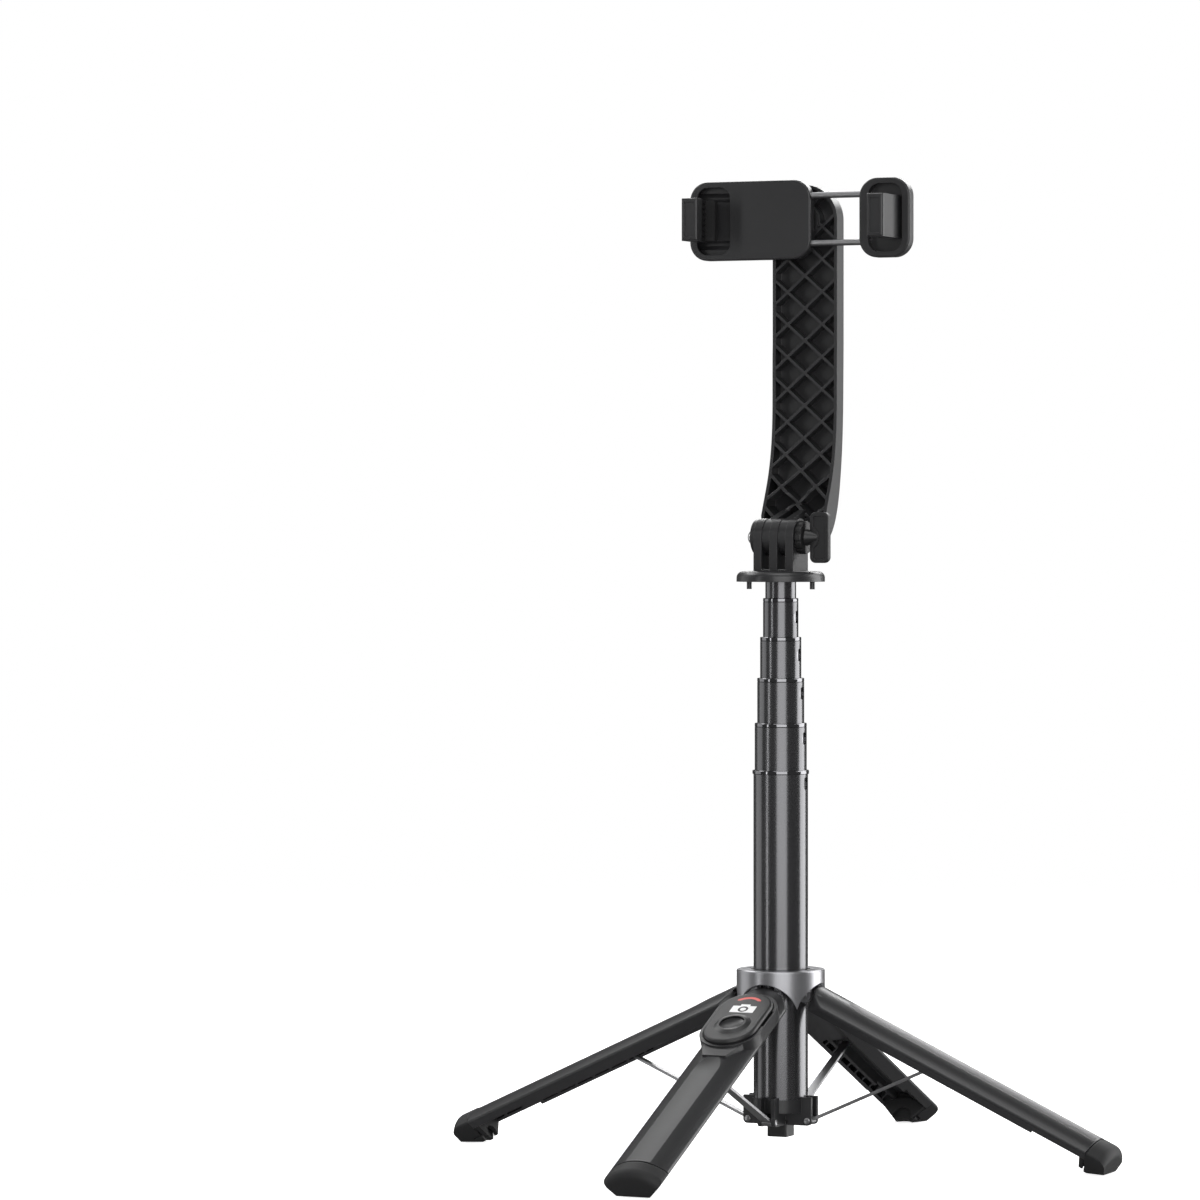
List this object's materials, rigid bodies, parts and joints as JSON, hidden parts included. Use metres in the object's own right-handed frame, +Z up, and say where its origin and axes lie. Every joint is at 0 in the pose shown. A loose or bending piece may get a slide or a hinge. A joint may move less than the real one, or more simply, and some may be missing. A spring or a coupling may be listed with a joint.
{
  "type": "selfie stick",
  "caption": "Telescopic selfie stick standing on fold-out strutted legs, with a tilting arm, a sprung swivelling phone clamp and a lift-off remote.",
  "frame": {"origin": "on the ground, on the handle's axis, under the middle of the four open legs", "axes": "+Z up along the handle, -Y towards the user and the leg that carries the remote, +X to the right of the clamped phone"},
  "size_m": [0.2826, 0.2826, 0.3875],
  "materials": {
    "tube_anodised": "gloss anodised",
    "rim_black": "satin",
    "shell_plastic": "satin moulded",
    "dark_plastic": "matte moulded",
    "foot_rubber": "matte",
    "pad_rubber": "matte",
    "bright_steel": "brushed",
    "pin_steel": "satin",
    "nut_chrome": "polished",
    "remote_gloss": "gloss",
    "button_satin": "satin",
    "mark_red": "gloss",
    "mark_white": "gloss",
    "board_green": "satin",
    "liner_nylon": "satin"
  },
  "bodies": {
    "base": {"main_tube": "tube_anodised", "tube_rim": "rim_black", "strut_collar": "shell_plastic", "base_plug": "dark_plastic", "collar_pins": "pin_steel"},
    "hub": {"hub": "shell_plastic", "hub_liner": "liner_nylon", "hub_pins": "pin_steel"},
    "leg_right": {"leg_right": "shell_plastic", "foot_right": "foot_rubber", "strut_pin_right": "pin_steel"},
    "strut_right": {"strut_right": "bright_steel"},
    "leg_back": {"leg_back": "shell_plastic", "foot_back": "foot_rubber", "strut_pin_back": "pin_steel"},
    "strut_back": {"strut_back": "bright_steel"},
    "leg_left": {"leg_left": "shell_plastic", "foot_left": "foot_rubber", "strut_pin_left": "pin_steel"},
    "strut_left": {"strut_left": "bright_steel"},
    "leg_front": {"leg_front": "shell_plastic", "foot_front": "foot_rubber", "strut_pin_front": "pin_steel"},
    "strut_front": {"strut_front": "bright_steel"},
    "section_2": {"section_2": "tube_anodised", "glide_2": "liner_nylon", "rim_2": "rim_black"},
    "section_3": {"section_3": "tube_anodised", "glide_3": "liner_nylon", "rim_3": "rim_black"},
    "section_4": {"section_4": "tube_anodised", "glide_4": "liner_nylon", "rim_4": "rim_black"},
    "section_5": {"section_5": "tube_anodised", "glide_5": "liner_nylon", "rim_5": "rim_black"},
    "section_6": {"section_6": "tube_anodised", "glide_6": "liner_nylon", "head_fork": "shell_plastic", "cap_nut": "nut_chrome"},
    "knob": {"thumb_knob": "dark_plastic", "hinge_bolt": "pin_steel"},
    "arm": {"arm": "shell_plastic"},
    "clamp": {"swivel_pin": "dark_plastic", "clamp_housing": "shell_plastic", "clamp_cover": "dark_plastic", "clamp_screws": "pin_steel", "pad_left": "pad_rubber"},
    "slider": {"clamp_slider": "shell_plastic", "guide_rods": "bright_steel", "clamp_springs": "pin_steel", "pad_right": "pad_rubber"},
    "remote": {"remote_base": "dark_plastic", "remote_top": "remote_gloss", "remote_arc": "mark_red", "remote_icon": "mark_white", "circuit_board": "board_green", "button_cell": "bright_steel"},
    "remote_button": {"remote_button": "button_satin"}
  },
  "joints": [
    {"name": "leg_fold", "type": "hinge", "parent": "base", "child": "strut_front", "pos_m": [0, -0.0128, 0.0148], "axis": [-1, 0, 0], "range_deg": [0, 65]},
    {"name": "leg_front_eye", "type": "hinge", "parent": "strut_front", "child": "leg_front", "pos_m": [0, -0.06909, 0.03973], "axis": [1, 0, 0], "range_deg": [0, 130]},
    {"name": "hub_on_front_leg", "type": "hinge", "parent": "leg_front", "child": "hub", "pos_m": [0, -0.0128, 0.06465], "axis": [-1, 0, 0], "range_deg": [0, 65]},
    {"name": "leg_right_hinge", "type": "hinge", "parent": "hub", "child": "leg_right", "pos_m": [0.0128, 0, 0.06465], "axis": [0, 1, 0], "range_deg": [0, 65]},
    {"name": "strut_right_hinge", "type": "hinge", "parent": "base", "child": "strut_right", "pos_m": [0.0128, 0, 0.0148], "axis": [0, -1, 0], "range_deg": [0, 65]},
    {"name": "leg_back_hinge", "type": "hinge", "parent": "hub", "child": "leg_back", "pos_m": [0, 0.0128, 0.06465], "axis": [-1, 0, 0], "range_deg": [0, 65]},
    {"name": "strut_back_hinge", "type": "hinge", "parent": "base", "child": "strut_back", "pos_m": [0, 0.0128, 0.0148], "axis": [1, 0, 0], "range_deg": [0, 65]},
    {"name": "leg_left_hinge", "type": "hinge", "parent": "hub", "child": "leg_left", "pos_m": [-0.0128, 0, 0.06465], "axis": [0, -1, 0], "range_deg": [0, 65]},
    {"name": "strut_left_hinge", "type": "hinge", "parent": "base", "child": "strut_left", "pos_m": [-0.0128, 0, 0.0148], "axis": [0, 1, 0], "range_deg": [0, 65]},
    {"name": "slide_2", "type": "slide", "parent": "base", "child": "section_2", "axis": [0, 0, 1], "range_m": [-0.0186, 0.088]},
    {"name": "slide_3", "type": "slide", "parent": "section_2", "child": "section_3", "axis": [0, 0, 1], "range_m": [-0.0178, 0.088]},
    {"name": "slide_4", "type": "slide", "parent": "section_3", "child": "section_4", "axis": [0, 0, 1], "range_m": [-0.0162, 0.088]},
    {"name": "slide_5", "type": "slide", "parent": "section_4", "child": "section_5", "axis": [0, 0, 1], "range_m": [-0.0154, 0.088]},
    {"name": "slide_6", "type": "slide", "parent": "section_5", "child": "section_6", "axis": [0, 0, 1], "range_m": [-0.0065, 0.088]},
    {"name": "arm_tilt", "type": "hinge", "parent": "section_6", "child": "arm", "pos_m": [0, 0, 0.2449], "axis": [1, 0, 0], "range_deg": [-40, 180]},
    {"name": "thumb_screw", "type": "hinge", "parent": "section_6", "child": "knob", "pos_m": [0, 0, 0.2449], "axis": [1, 0, 0], "range_deg": [0, 90]},
    {"name": "clamp_swivel", "type": "hinge", "parent": "arm", "child": "clamp", "pos_m": [0, 0.0276, 0.3717], "axis": [0, 1, 0], "continuous": true},
    {"name": "clamp_open", "type": "slide", "parent": "clamp", "child": "slider", "axis": [1, 0, 0], "range_m": [-0.0196, 0.0144], "deforming": ["clamp_springs"]},
    {"name": "remote_lift", "type": "slide", "parent": "leg_front", "child": "remote", "axis": [0, -0.4226, 0.9063], "range_m": [0, 0.03]},
    {"name": "button_press", "type": "slide", "parent": "remote", "child": "remote_button", "axis": [0, 0.4226, -0.9063], "range_m": [0, 0.0005], "stiffness_N_per_m": 400}
  ],
  "couplings": [
    {"joint": "leg_front_eye", "follows": "leg_fold", "ratio": 2},
    {"joint": "hub_on_front_leg", "follows": "leg_fold", "ratio": 1},
    {"joint": "leg_right_hinge", "follows": "leg_fold", "ratio": 1},
    {"joint": "strut_right_hinge", "follows": "leg_fold", "ratio": 1},
    {"joint": "leg_back_hinge", "follows": "leg_fold", "ratio": 1},
    {"joint": "strut_back_hinge", "follows": "leg_fold", "ratio": 1},
    {"joint": "leg_left_hinge", "follows": "leg_fold", "ratio": 1},
    {"joint": "strut_left_hinge", "follows": "leg_fold", "ratio": 1}
  ]
}
